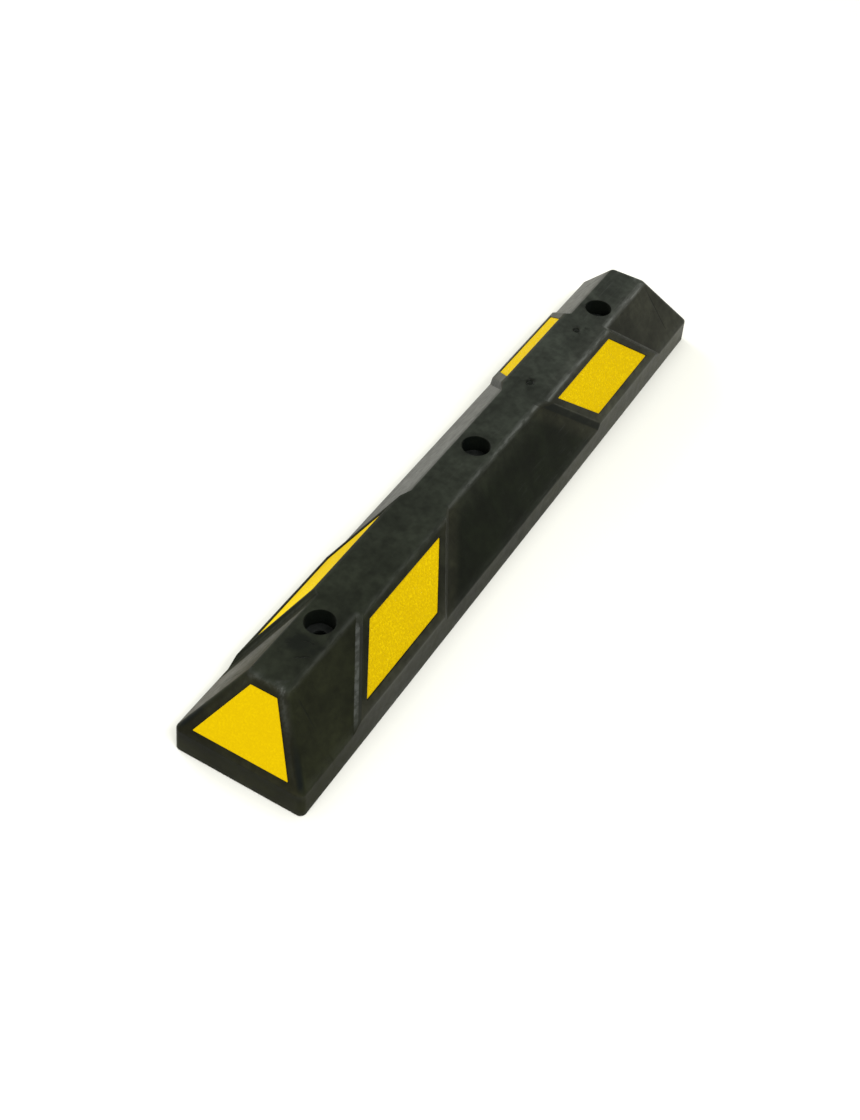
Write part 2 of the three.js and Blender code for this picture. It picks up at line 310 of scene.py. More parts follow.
def half_side_columns():
    """Columns of half a long side, from its middle out to the hip."""
    columns = [column("middle", "inner_foot", i / 18) for i in range(18)]
    for t in STEP_PLACES:
        wear_and_painted_light = INNER_STEP_SHADE * smooth_ramp(t, 0.0, 0.2) * (1 - smooth_ramp(t, 0.8, 0.9))
        wear_and_painted_light += INNER_STEP_HIGHLIGHT * smooth_ramp(t, 0.85, 0.95)
        columns.append(column("inner_foot", "inner_edge", t, step_height(t), wear_and_painted_light=wear_and_painted_light))
    columns += [column("inner_edge", "bed_inner", t, 1.0) for t in (0.08, 0.3, 0.65)]
    for offset, share in BED_LIP:
        columns.append(column("bed_inner", "bed_outer", 0, 1.0, share, offset=offset))
    columns += [column("bed_inner", "bed_outer", i / 18, 1.0, 1.0) for i in range(1, 18)]
    for offset, share in reversed(BED_LIP):
        columns.append(column("bed_inner", "bed_outer", 1, 1.0, share, offset=-offset))
    columns += [column("bed_outer", "outer_edge", t, 1.0) for t in (0.4, 0.75, 0.92)]
    for t in reversed(STEP_PLACES):
        wear_and_painted_light = OUTER_STEP_HIGHLIGHT * smooth_ramp(t, 0.0, 0.1)
        wear_and_painted_light -= OUTER_STEP_SHADE * smooth_ramp(t, 0.5, 0.65)
        wear_and_painted_light += OUTER_EDGE_HIGHLIGHT * smooth_ramp(t, 0.9, 0.97)
        columns.append(column("outer_foot", "outer_edge", t, step_height(t), wear_and_painted_light=wear_and_painted_light))
    columns += [column("outer_foot", "crease", i / 10) for i in range(1, 10)]
    for offset, share in CREASE_PROFILE:
        columns.append(column("crease", "hip", 0, offset=offset, groove=share))
    columns += [column("crease", "hip", t) for t in (0.45, 0.75, 1)]
    return columns


def ridge_wear_and_highlight(x):
    """How much wear and painted highlight the long ridges carry: little at the front, more towards the
    rear.
    """
    front, middle, rear = LONG_RIDGE_WEAR_AND_HIGHLIGHT
    return front + middle * smooth_ramp(x, -170, 80) + rear * smooth_ramp(x, 60, 140)


def step_light_and_shade(side, end, spec, drop):
    """Painted highlight and painted shade on a pad's end step. The highlight fades towards the wall,
    and the shade doesn't.
    """
    wear_and_painted_light = spec["wear_and_painted_light"]
    if wear_and_painted_light < 0:
        return wear_and_painted_light * (FRONT_STEP_SHADE if end < 0 and spec["a"] == "inner_foot" else 1.0)
    if end > 0 and spec["a"] == "outer_foot":
        wear_and_painted_light *= REAR_STEP_HIGHLIGHT
    if side > 0:
        wear_and_painted_light *= LEFT_STEP_HIGHLIGHT
    return wear_and_painted_light * (1 - smooth_ramp(drop, *STEP_HIGHLIGHT_FADE))


def side_column(side, end, spec):
    """(point, wear and painted light, share of the pad's rise) for every row of a column on a long
    side.
    """
    radius = RIDGE_RADIUS if side < 0 else LEFT_RIDGE_RADIUS
    rows = section(PAD_RISE * spec["height"], SIDE_ROWS, PAD_BED_DEPTH, spec["bed"], radius)
    points = []
    for out, z, drop, wear_and_painted_light in rows:
        a = GUIDES[spec["a"]](out, z, drop)
        b = GUIDES[spec["b"]](out, z, drop)
        x = a + (b - a) * spec["t"] + spec["offset"]
        fade = smooth_ramp(drop, *CREASE_FADE_IN)
        fade *= 1 - smooth_ramp(drop, *CREASE_FADE_OUT[end])
        depth = CREASE_DEPTH * spec["groove"] * fade
        y = TOP_WIDTH / 2 + out - depth * FALL
        if z > HEIGHT - EDGE_REACH:
            wear_and_painted_light *= ridge_wear_and_highlight(end * x) * (1.0 if side < 0 else LEFT_RIDGE_WEAR_AND_HIGHLIGHT)
            wear_and_painted_light *= STEP_RIDGE_WEAR_AND_HIGHLIGHT if spec["wear_and_painted_light"] < 0 else 1.0
        elif spec["groove"]:
            wear_and_painted_light = CREASE_SHADE * spec["groove"] * fade * (REAR_CREASE if end > 0 else 1.0)
        elif z > WALL_HEIGHT and abs(spec["wear_and_painted_light"]) > wear_and_painted_light:
            wear_and_painted_light = step_light_and_shade(side, end, spec, drop)
        points.append(((end * x, side * y, z - depth * OUTWARD), wear_and_painted_light, spec["height"]))
    return points


def end_columns():
    """Columns of half an end slope, from its middle out to the hip: a guide, the share of the way to
    the next one, the share of the bed's depth, and an offset in millimetres."""
    half = [("middle", i / 5, 1.0, 0.0) for i in range(5)]
    half += [("bed", 0.0, share, -offset) for offset, share in reversed(BED_LIP)]
    half += [("bed", 0.4, 0.0, 0.0), ("bed", 0.75, 0.0, 0.0), ("bed", 1.0, 0.0, 0.0)]
    return half


# Painted shade on the lower part of the hips, by height.
def hip_foot_shade(z):
    return HIP_FOOT_SHADE * smooth_ramp(z, 31, 36) * (1 - smooth_ramp(z, 42, 72))


def hip_highlight(sy, distance, z):
    """Painted highlight beside a hip, `distance` in from its rounding: a broad band that fades
    downwards.
    """
    band = math.exp(-(((distance - HIP_HIGHLIGHT_PLACE) / HIP_HIGHLIGHT_REACH) ** 2))
    upper = 0.25 + 0.75 * smooth_ramp(z, 58, 86)
    share = LEFT_HIP_HIGHLIGHT if sy > 0 else 1.0
    return HIP_HIGHLIGHT * share * band * upper * smooth_ramp(z, 34, 46)


def end_column(end, sign, spec):
    """(point, wear and painted light) for every row of a column on an end."""
    guide, t, bed, offset = spec
    points = []
    for out, z, drop, wear_and_painted_light in section(0.0, END_ROWS, END_BED_DEPTH, bed):
        edge = END_BED_HALF + END_BED_SPREAD * (drop - END_BED_DROP[0])
        hip = hip_y(out, z)
        low, high = (0.0, edge) if guide == "middle" else (edge, hip)
        y = low + (high - low) * t + offset
        # a band of painted highlight beside the hip
        hip_highlight_band = hip_highlight(sign, hip - y, z)
        if z > HEIGHT - EDGE_REACH:
            wear_and_painted_light *= END_RIDGE_WEAR_AND_HIGHLIGHT + CORNER_SPOT * hip_highlight_band
        elif z > WALL_HEIGHT - EDGE_REACH:
            wear_and_painted_light *= END_WALL_EDGE_WEAR
        points.append(((end * (TOP_LENGTH / 2 + out), sign * y, z), wear_and_painted_light + hip_highlight_band))
    return points


def corner_columns(sx, sy, from_side):
    """Columns round an upright corner. Their rows pass from those of one face to the other's."""
    columns = []
    for i in range(1, CORNER_STEPS):
        t = i / CORNER_STEPS
        towards_end = t if from_side else 1 - t
        rows = [(s[0] + (e[0] - s[0]) * towards_end, 0.0) for s, e in zip(SIDE_ROWS, END_ROWS)]
        angle = towards_end * math.pi / 2
        ridge = RIDGE_RADIUS if sy < 0 else LEFT_RIDGE_RADIUS
        ridge += (RIDGE_RADIUS - ridge) * towards_end
        points = []
        for out, z, _, wear_and_painted_light in section(0.0, rows, 0.0, 0.0, ridge):
            radius = corner_radius(z)
            x = hip_x(out, z) + radius * math.sin(angle)
            y = hip_y(out, z) + radius * math.cos(angle)
            # a band of painted highlight beside the hip, and painted shade low on it
            hip_highlight_band = hip_highlight(sy, -radius * (math.pi / 2 - angle), z)
            if z > HEIGHT - EDGE_REACH:
                wear_and_painted_light *= END_RIDGE_WEAR_AND_HIGHLIGHT + CORNER_SPOT * hip_highlight_band
            painted_shade = hip_foot_shade(z) * math.sin(math.pi * t)
            points.append(((sx * x, sy * y, z), wear_and_painted_light + hip_highlight_band + painted_shade))
        columns.append(points)
    return columns


def side_loop(side, direction):
    """All the columns of a long side, in the direction of travel along x."""
    half = half_side_columns()
    specs = [(-1, spec) for spec in reversed(half[1:])] + [(1, spec) for spec in half]
    if direction < 0:
        specs.reverse()
    return [side_column(side, end, spec) for end, spec in specs]


def end_loop(end, direction):
    half = end_columns()
    specs = [(-1, spec) for spec in reversed(half[1:])] + [(1, spec) for spec in half]
    if direction < 0:
        specs.reverse()
    return [end_column(end, sign, spec) for sign, spec in specs]


def shell_columns():
    columns = side_loop(-1, 1)
    columns += corner_columns(1, -1, True)
    columns += end_loop(1, 1)
    columns += corner_columns(1, 1, False)
    columns += side_loop(1, -1)
    columns += corner_columns(-1, 1, True)
    columns += end_loop(-1, -1)
    columns += corner_columns(-1, -1, False)
    return columns


# ---- meshing -------------------------------------------------------------------------------------

class Mesh:
    """A bmesh in metres that takes millimetres. Its vertices say how worn they are and how much painted
    light they carry, 1 being bare and highlit and less than 0 painted shade, and how far up a raised
    pad they lie."""

    def __init__(self):
        self.bm = bmesh.new()
        self.wear_and_painted_light = self.bm.verts.layers.float.new("wear_and_painted_light")
        self.raised = self.bm.verts.layers.float.new("raised")

    def vertex(self, point, wear_and_painted_light=0.0, raised=0.0):
        v = self.bm.verts.new([c * MM for c in point])
        v[self.wear_and_painted_light] = wear_and_painted_light
        v[self.raised] = raised
        return v

    def ring(self, points, wear_and_painted_light=0.0):
        return [self.vertex(p, wear_and_painted_light) for p in points]

    def bridge(self, a, b):
        """Quads between two closed rings of equal length."""
        for i in range(len(a)):
            j = (i + 1) % len(a)
            self.bm.faces.new((a[i], b[i], b[j], a[j]))

    def loft(self, rings):
        for a, b in zip(rings, rings[1:]):
            self.bridge(a, b)

    def fill(self, rings, up):
        """A flat face with holes, between the first ring and the others."""
        edges = []
        for ring in rings:
            for i, v in enumerate(ring):
                pair = (v, ring[(i + 1) % len(ring)])
                edges.append(self.bm.edges.get(pair) or self.bm.edges.new(pair))
        made = bmesh.ops.triangle_fill(
            self.bm, use_beauty=True, use_dissolve=False, edges=edges, normal=(0, 0, up)
        )
        for face in made["geom"]:
            if isinstance(face, bmesh.types.BMFace) and face.normal.z * up < 0:
                face.normal_flip()

    def finish(self, name, material):
        bmesh.ops.recalc_face_normals(self.bm, faces=self.bm.faces)
        mesh = bpy.data.meshes.new(name)
        self.bm.to_mesh(mesh)
        self.bm.free()
        for polygon in mesh.polygons:
            polygon.use_smooth = True
        mesh.materials.append(material)
        piece = bpy.data.objects.new(name, mesh)
        bpy.context.scene.collection.objects.link(piece)
        weighted = piece.modifiers.new("even_shading", "WEIGHTED_NORMAL")
        weighted.weight = 60
        return piece


def circle(x, radius, z):
    turn = 2 * math.pi / HOLE_SIDES
    return [
        (x + radius * math.cos(turn * i), radius * math.sin(turn * i), z) for i in range(HOLE_SIDES)
    ]


def hole_rings(mesh, x):
    """The inside of one bolt hole, from its mouth on the top to its mouth underneath."""
    rings = []
    # painted shade deepens from the mouth into the hole
    for i in range(ROUND_STEPS + 1):
        angle = i / ROUND_STEPS * math.pi / 2
        radius = MOUTH_RADIUS - MOUTH_ROUNDING * math.sin(angle)
        z = HEIGHT - MOUTH_ROUNDING * (1 - math.cos(angle))
        rings.append(mesh.ring(circle(x, radius, z), HOLE_SHADE * i / ROUND_STEPS))
    lip = SEAT_Z - WASHER_THICKNESS + WASHER_RIM_THICKNESS + PIECE_GAP
    bed = WASHER_RIM_RADIUS + PIECE_GAP
    foot = SEAT_Z - WASHER_THICKNESS - PIECE_GAP
    soft = 0.4
    for radius, z in [
        (COUNTERBORE_RADIUS, HEIGHT - 3),
        (COUNTERBORE_RADIUS, lip + 6),
        (COUNTERBORE_RADIUS, lip + soft),
        (COUNTERBORE_RADIUS + 0.3, lip),
        (bed, lip),
        (bed, foot),
        (BORE_RADIUS + soft, foot),
        (BORE_RADIUS, foot - soft),
        (BORE_RADIUS, foot / 2),
        (BORE_RADIUS, 1.0),
        (BORE_RADIUS + 0.7, 0.0),
    ]:
        rings.append(mesh.ring(circle(x, radius, z), HOLE_SHADE))
    mesh.loft(rings)
    return rings[0], rings[-1]


def vent_rings(mesh, x, y):
    """A round groove with a low button in its middle, left by a vent of the mould."""
    rings = []
    # painted shade, darker the deeper the ring lies
    for radius, depth in VENT_PROFILE:
        every_third = circle(0, radius, 0)[::3]
        ring = [(x + px, y + py, HEIGHT - depth) for px, py, _ in every_third]
        rings.append(mesh.ring(ring, VENT_SHADE * depth))
    mesh.loft(rings)
    mesh.bm.faces.new(rings[-1])
    return rings[0]


def rounded_rectangle(x, y, half_length, half_width, radius, z):
    points = []
    for sx, sy, start in ((1, 1, 0), (-1, 1, 1), (-1, -1, 2), (1, -1, 3)):
        for i in range(ROUND_STEPS + 1):
            angle = (start + i / ROUND_STEPS) * math.pi / 2
            px = x + sx * (half_length - radius) + radius * math.cos(angle)
            py = y + sy * (half_width - radius) + radius * math.sin(angle)
            points.append((px, py, z))
    return points


def pocket_rings(mesh, x, y):
    """One relieving pocket in the underside, with rounded corners and floor."""
    rings = []
    levels = [(0.0, -POCKET_MOUTH), (POCKET_MOUTH, 0.13)]   # height, inset
    slope = POCKET_DRAFT / POCKET_DEPTH
    knee = POCKET_DEPTH - POCKET_FLOOR_RADIUS
    levels += [(knee / 2, knee / 2 * slope), (knee, knee * slope)]
    for i in range(1, ROUND_STEPS + 1):
        angle = i / ROUND_STEPS * math.pi / 2
        inset = knee * slope + POCKET_FLOOR_RADIUS * (1 - math.cos(angle))
        levels.append((knee + POCKET_FLOOR_RADIUS * math.sin(angle), inset))
    for z, inset in levels:
        half_length, half_width = POCKET_LENGTH / 2 - inset, POCKET_WIDTH / 2 - inset
        rings.append(mesh.ring(rounded_rectangle(x, y, half_length, half_width, POCKET_CORNER, z)))
    mesh.loft(rings)
    mesh.bm.faces.new(rings[-1])
    return rings[0]


def pocket_middles():
    pitch = POCKET_LENGTH + POCKET_RIB
    first = BOSS_HALF + POCKET_LENGTH / 2
    bay = [first + i * pitch for i in range(3)] + [HOLE_X[-1] + first]
    return [end * x for end in (-1, 1) for x in bay]


def build_body(material):
    mesh = Mesh()
    columns = [[mesh.vertex(*point) for point in points] for points in shell_columns()]
    rings = [list(row) for row in zip(*columns)]
    mesh.loft(rings)
    mouths, feet = zip(*[hole_rings(mesh, x) for x in HOLE_X])
    pockets = [
        pocket_rings(mesh, x, row * POCKET_ROW) for x in pocket_middles() for row in (-1, 1)
    ]
    vents = [vent_rings(mesh, x, y) for x, y in VENTS]
    mesh.fill([rings[0], *mouths, *vents], 1)
    mesh.fill([rings[-1], *feet, *pockets], -1)
    return mesh.finish("rubber_moulding", material)


# ---- reflective panels ---------------------------------------------------------------------------

def panel_outline(node):
    """The four upper corners of a CAD panel in order, its normal and its thickness, millimetres."""
    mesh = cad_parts[node].data
    face = max((p for p in mesh.polygons if p.normal.z > 0.3), key=lambda p: p.area)
    normal = face.normal.copy()
    points = {tuple(round(c / MM, 4) for c in v.co) for v in mesh.vertices}
    points = [Vector(p) for p in points]
    highest = max(p.dot(normal) for p in points)
    thickness = highest - min(p.dot(normal) for p in points)
    upper = [p for p in points if highest - p.dot(normal) < thickness / 2]
    middle = sum(upper, Vector()) / len(upper)
    across = (upper[0] - middle).normalized()
    up = normal.cross(across)
    upper.sort(key=lambda p: math.atan2((p - middle).dot(up), (p - middle).dot(across)))
    return upper, normal, thickness


def inset_outline(corners, normal, inset, radius):
    """The outline moved in by `inset`, its corners rounded."""
    count = len(corners)
    moved = []
    for i in range(count):
        here, before, after = corners[i], corners[i - 1], corners[(i + 1) % count]
        back = (before - here).normalized()
        ahead = (after - here).normalized()
        half = back.angle(ahead) / 2
        moved.append(here + (back + ahead).normalized() * (inset / math.sin(half)))
    points = []
    for i in range(count):
        here, before, after = moved[i], moved[i - 1], moved[(i + 1) % count]
        back = (before - here).normalized()
        ahead = (after - here).normalized()
        half = back.angle(ahead) / 2
        middle = here + (back + ahead).normalized() * (radius / math.sin(half))
        first = here + back * (radius / math.tan(half)) - middle
        turn = math.pi - 2 * half
        for k in range(ROUND_STEPS + 1):
            points.append(middle + Matrix.Rotation(turn * k / ROUND_STEPS, 3, normal) @ first)
    return points


def build_panel(node, material):
    """A panel on its CAD node's outline, with a rounded upper edge."""
    corners, normal, thickness = panel_outline(node)
    mesh = Mesh()
    bevel = 0.1
    # inset, depth below the upper face, share of the painted shade on the rim
    levels = [(bevel, thickness, 1.0), (0.0, thickness - bevel, 1.0), (0.0, PANEL_EDGE, 1.0)]
    for i in range(1, PANEL_EDGE_STEPS + 1):
        angle = i / PANEL_EDGE_STEPS * math.pi / 2
        inset = PANEL_EDGE * (1 - math.cos(angle))
        levels.append((inset, PANEL_EDGE * (1 - math.sin(angle)), 1.0))
    levels += [(0.6, 0.0, 0.8), (1.0, 0.0, 0.2), (1.5, 0.0, 0.0)]
    rings = []
    for inset, depth, wear_and_painted_light in levels:
        outline = inset_outline(corners, normal, inset, PANEL_CORNER)
        rings.append(mesh.ring([p - normal * depth for p in outline], wear_and_painted_light))
    mesh.loft(rings)
    mesh.bm.faces.new(rings[-1])
    mesh.bm.faces.new(list(reversed(rings[0])))
    return mesh.finish(node.replace("reflector", "reflective_panel"), material)


# ---- seat washers --------------------------------------------------------------------------------

def build_washer(node, x, material):
    mesh = Mesh()
    foot = SEAT_Z - WASHER_THICKNESS
    rim = foot + WASHER_RIM_THICKNESS
    soft = 0.3
    profile = [
        (WASHER_BORE, foot + soft),
        (WASHER_BORE + soft, foot),
        (WASHER_RIM_RADIUS - soft, foot),
        (WASHER_RIM_RADIUS, foot + soft),
        (WASHER_RIM_RADIUS, rim - soft),
        (WASHER_RIM_RADIUS - soft, rim),
        (WASHER_SEAT_RADIUS, rim),
        (WASHER_SEAT_RADIUS, SEAT_Z - soft),
        (WASHER_SEAT_RADIUS - soft, SEAT_Z),
        (WASHER_BORE + soft, SEAT_Z),
        (WASHER_BORE, SEAT_Z - soft),
    ]
    rings = [mesh.ring(circle(x, radius, z)) for radius, z in profile]
    mesh.loft(rings + rings[:1])
    return mesh.finish(node.replace("seat_washer", "washer"), material)


# ---- materials -----------------------------------------------------------------------------------

class Shader:
    """Short calls for the nodes of one material. Textures are read in millimetres."""

    def __init__(self, name):
        self.material = bpy.data.materials.new(name)
        self.material.use_nodes = True
        self.nodes = self.material.node_tree.nodes
        self.links = self.material.node_tree.links
        self.bsdf = next(n for n in self.nodes if n.type == "BSDF_PRINCIPLED")
        place = self.nodes.new("ShaderNodeTexCoord")
        self.place = self.vector("MULTIPLY", place.outputs["Object"], [1 / MM] * 3)

    def put(self, socket, value):
        if isinstance(value, bpy.types.NodeSocket):
            self.links.new(value, socket)
        elif hasattr(value, "__len__") and len(value) == 3 and socket.type == "RGBA":
            socket.default_value = (*value, 1.0)
        else:
            socket.default_value = value

    def vector(self, operation, a, b):
        node = self.nodes.new("ShaderNodeVectorMath")
        node.operation = operation
        self.put(node.inputs[0], a)
        self.put(node.inputs[1], b)
        return node.outputs[0]

    def length(self, vector):
        node = self.nodes.new("ShaderNodeVectorMath")
        node.operation = "LENGTH"
        self.put(node.inputs[0], vector)
        return node.outputs["Value"]

    def math(self, operation, a, b=0.0, third=0.0):
        node = self.nodes.new("ShaderNodeMath")
        node.operation = operation
        self.put(node.inputs[0], a)
        self.put(node.inputs[1], b)
        self.put(node.inputs[2], third)
        return node.outputs[0]

    def noise(self, size, detail=3.0, stretch=(1, 1, 1), rough=0.55, warp=0.0):
        """Noise whose features are about `size` mm across, longer along an axis where stretch > 1."""
        node = self.nodes.new("ShaderNodeTexNoise")
        scaled = self.vector("DIVIDE", self.place, stretch)
        self.put(node.inputs["Vector"], scaled)
        node.inputs["Scale"].default_value = 1.0 / size
        node.inputs["Detail"].default_value = detail
        node.inputs["Roughness"].default_value = rough
        node.inputs["Distortion"].default_value = warp
        return node.outputs["Fac"]

    def cells(self, size):
        """The distance from the middles of soft cells about `size` mm across."""
        node = self.nodes.new("ShaderNodeTexVoronoi")
        node.feature = "SMOOTH_F1"
        self.put(node.inputs["Vector"], self.place)
        node.inputs["Scale"].default_value = 1.0 / size
        return node.outputs["Distance"]

    def ramp(self, value, low, high, to_low=0.0, to_high=1.0):
        """Passes smoothly from `to_low` at `low` to `to_high` at `high`."""
        node = self.nodes.new("ShaderNodeMapRange")
        node.interpolation_type = "SMOOTHSTEP"
        self.put(node.inputs["Value"], value)
        for name, number in (
            ("From Min", low), ("From Max", high), ("To Min", to_low), ("To Max", to_high),
        ):
            node.inputs[name].default_value = number
        return node.outputs[0]

    def mix(self, share, a, b):
        node = self.nodes.new("ShaderNodeMix")
        node.data_type = "RGBA"
        self.put(node.inputs["Factor"], share)
        self.put(node.inputs[6], a)
        self.put(node.inputs[7], b)
        return node.outputs[2]

    def attribute(self, name):
        node = self.nodes.new("ShaderNodeAttribute")
        node.attribute_name = name
        return node.outputs["Fac"]

    def facing(self):
        """The x, y and z of the surface's normal in the object's frame."""
        node = self.nodes.new("ShaderNodeNewGeometry")
        split = self.nodes.new("ShaderNodeSeparateXYZ")
        self.put(split.inputs[0], node.outputs["Normal"])
        return split.outputs

    def coordinates(self):
        """The x, y and z of a point in the object's frame, millimetres."""
        split = self.nodes.new("ShaderNodeSeparateXYZ")
        self.put(split.inputs[0], self.place)
        return split.outputs

    def bump(self, height, distance, strength, below=None):
        """A normal for relief `distance` mm high, on top of another one where `below` is given."""
        node = self.nodes.new("ShaderNodeBump")
        node.inputs["Strength"].default_value = strength
        node.inputs["Distance"].default_value = distance * MM
        self.put(node.inputs["Height"], height)
        if below is not None:
            self.put(node.inputs["Normal"], below)
        return node.outputs[0]


# Old dents in the top, millimetres: x, y, heading in degrees, length, width, depth.
DENTS = [
    (-337.9, -6.1, 97, 17, 1.3, 0.8),
    (-356.0, -10.8, 117, 19, 1.4, 1.0),
    (-349.0, 9.0, 100, 12, 1.0, 0.4),
    (-326.0, -19.0, 20, 10, 1.0, 0.4),
]
# Dark smudges on the top, millimetres: x, y, radius, strength.
SMUDGES = [
    (-340.0, -2.0, 26.0, 0.85),
    (253.7, 2.4, 8.5, 0.9),
    (263.0, -7.0, 5.0, 0.6),
    (132.7, 2.7, 9.0, 0.9),
    (122.0, -3.0, 6.0, 0.5),
    (0.0, 0.0, 30.0, 0.6),
    (310.0, 0.0, 26.0, 0.4),
    (-310.0, 0.0, 26.0, 0.15),
]
# The rubber's colours, linear.
SLOPE_LOW = (0.0030, 0.0044, 0.0018)
SLOPE_HIGH = (0.0085, 0.0100, 0.0062)
SLOPE_FRONT = (0.0090, 0.0102, 0.0045)
SLOPE_REAR = (0.0165, 0.0172, 0.0120)
STEP_DUST = (0.0128, 0.0136, 0.0080)
PAD_FOOT_FRONT = (0.0175, 0.0180, 0.0120)
PAD_FOOT_REAR = (0.0250, 0.0258, 0.0180)
END_LOW = (0.0105, 0.0105, 0.0048)
END_HIGH = (0.0090, 0.0093, 0.0045)
TOP_FRONT = (0.0098, 0.0118, 0.0076)
TOP_REAR = (0.0180, 0.0213, 0.0172)
TOP_SHOULDER = (0.0270, 0.0300, 0.0250)   # beside the right ridge
WALL_FRONT = (0.0080, 0.0086, 0.0034)
WALL_REAR = (0.0240, 0.0240, 0.0160)
END_WALL_LOW = (0.0095, 0.0100, 0.0044)
END_WALL_HIGH = (0.0055, 0.0060, 0.0024)
SPECK = (0.020, 0.021, 0.016)
SLOPE_DUST = (0.030, 0.031, 0.028)
# Colours of the painted brownish sheen on the left slope.
GRAZING_SHEEN_FRONT = (0.0215, 0.0185, 0.0070)
GRAZING_SHEEN_REAR = (0.0165, 0.0165, 0.0075)
SCUFF = (0.040, 0.043, 0.040)
# Bare rubber with painted highlight, painted shade, smudges, and painted shade in the dents.
BARE_AND_HIGHLIGHT = (0.080, 0.085, 0.080)
BARE_AND_HIGHLIGHT_REAR = (0.120, 0.125, 0.120)
PAINTED_SHADE_COLOUR = (0.0022, 0.0036, 0.0036)
SMUDGE = (0.0040, 0.0052, 0.0038)
DENT_SHADE = (0.0020, 0.0024, 0.0018)

# Each pair is where something starts and where it is complete, or where it has gone.
STEP_DUST_START, STEP_DUST_END = (108, 130), (160, 175)   # places along a slope, as leaning_place says
BEYOND_PADS = (332, 345)
UPRIGHT = (0.15, 0.40)                                    # upward parts of the normal
LEFT_SLOPE = (0.60, 0.78)                                 # leftward parts of the normal


def dent(s, spec):
    """1 in the middle of a short straight dent, falling to 0 at its sides and tips."""
    x, y, heading, length, width, depth = spec
    turn = math.radians(heading)
    place = s.coordinates()
    dx, dy = s.math("SUBTRACT", place[0], x), s.math("SUBTRACT", place[1], y)
    across, along = math.sin(turn), math.cos(turn)
    u = s.math("ADD", s.math("MULTIPLY", dx, along), s.math("MULTIPLY", dy, across))
    v = s.math("SUBTRACT", s.math("MULTIPLY", dy, along), s.math("MULTIPLY", dx, across))
    v = s.math("ADD", v, s.ramp(s.noise(6, 2), 0.3, 0.7, -1.2, 1.2))
    tips = s.ramp(s.math("ABSOLUTE", u), length / 4, length / 2, 1.0, 0.0)
    sides = s.ramp(s.math("ABSOLUTE", v), 0.0, width, depth, 0.0)
    return s.math("MULTIPLY", tips, sides)


def smudge(s, spec):
    """A soft uneven spot, strongest in its middle."""
    x, y, radius, strength = spec
    away = s.length(s.vector("SUBTRACT", s.place, (x, y, HEIGHT)))
    uneven = s.ramp(s.noise(radius, 3), 0.3, 0.7, -0.4 * radius, 0.4 * radius)
    away = s.math("ADD", away, uneven)
    return s.ramp(away, radius * 0.3, radius, strength, 0.0)


def largest(s, values):
    result = values[0]
    for value in values[1:]:
        result = s.math("MAXIMUM", result, value)
    return result


def leaning_place(s, x, z):
    """How far out along a slope a point lies, measured as the pads' leaning ends are, millimetres."""
    place = s.math("MULTIPLY_ADD", z, PAD_LEAN / FALL, third=s.math("ABSOLUTE", x))
    return s.math("SUBTRACT", place, PAD_LEAN * (HEIGHT / FALL - PAD_MID_DROP))


def step_dust(s, x, z, sideways):
    """Dust along the pads' inner steps on the right."""
    place = leaning_place(s, x, z)
    dust = s.math(
        "MULTIPLY", s.ramp(place, *STEP_DUST_START), s.ramp(place, *STEP_DUST_END, 1.0, 0.0)
    )
    return s.math("MULTIPLY", dust, s.ramp(sideways, -0.2, 0.2, 1.0, 0.0))


def rubber_tone(s):
    """The rubber's own colour: olive on the slopes, slate on the top, paler where it has weathered."""
    x, y, z = s.coordinates()
    normal = s.facing()
    raised = s.attribute("raised")
    front = s.ramp(x, -390, -120, 1.0, 0.0)
    rear = s.math("MAXIMUM", s.ramp(x, 90, 380), s.math("MULTIPLY", raised, s.ramp(x, 0, 100)))
    sides = s.mix(s.ramp(z, 74, 97), SLOPE_LOW, SLOPE_HIGH)
    sides = s.mix(front, sides, SLOPE_FRONT)
    sides = s.mix(step_dust(s, x, z, normal[1]), sides, STEP_DUST)
    sides = s.mix(rear, sides, SLOPE_REAR)
    low = s.math("MULTIPLY", raised, s.ramp(z, 44, 56, 1.0, 0.0))
    low = s.math("MULTIPLY", low, s.ramp(normal[1], -0.2, 0.2, 1.0, 0.0))
    sides = s.mix(low, sides, s.mix(rear, PAD_FOOT_FRONT, PAD_FOOT_REAR))
    end = s.mix(s.ramp(z, 25, 90), END_LOW, END_HIGH)
    top = s.mix(s.ramp(x, -380, 260), TOP_FRONT, TOP_REAR)
    shoulder = s.math("MULTIPLY", s.ramp(x, 90, 170), s.ramp(y, -20, -8, 1.0, 0.0))
    top = s.mix(s.math("MULTIPLY", shoulder, 0.6), top, TOP_SHOULDER)
    walls = s.mix(s.ramp(x, -100, 420), WALL_FRONT, WALL_REAR)
    end_wall = s.mix(s.ramp(z, 10, 28), END_WALL_LOW, END_WALL_HIGH)
    walls = s.mix(s.ramp(normal[0], -0.9, -0.6, 1.0, 0.0), walls, end_wall)
    colour = s.mix(s.ramp(normal[0], -0.75, -0.45, 1.0, 0.0), sides, end)
    upright = s.ramp(normal[2], *UPRIGHT, 1.0, 0.0)
    colour = s.mix(s.math("MULTIPLY", upright, s.ramp(z, 31, 36, 1.0, 0.0)), colour, walls)
    return s.mix(s.ramp(normal[2], 0.70, 0.97), colour, top)


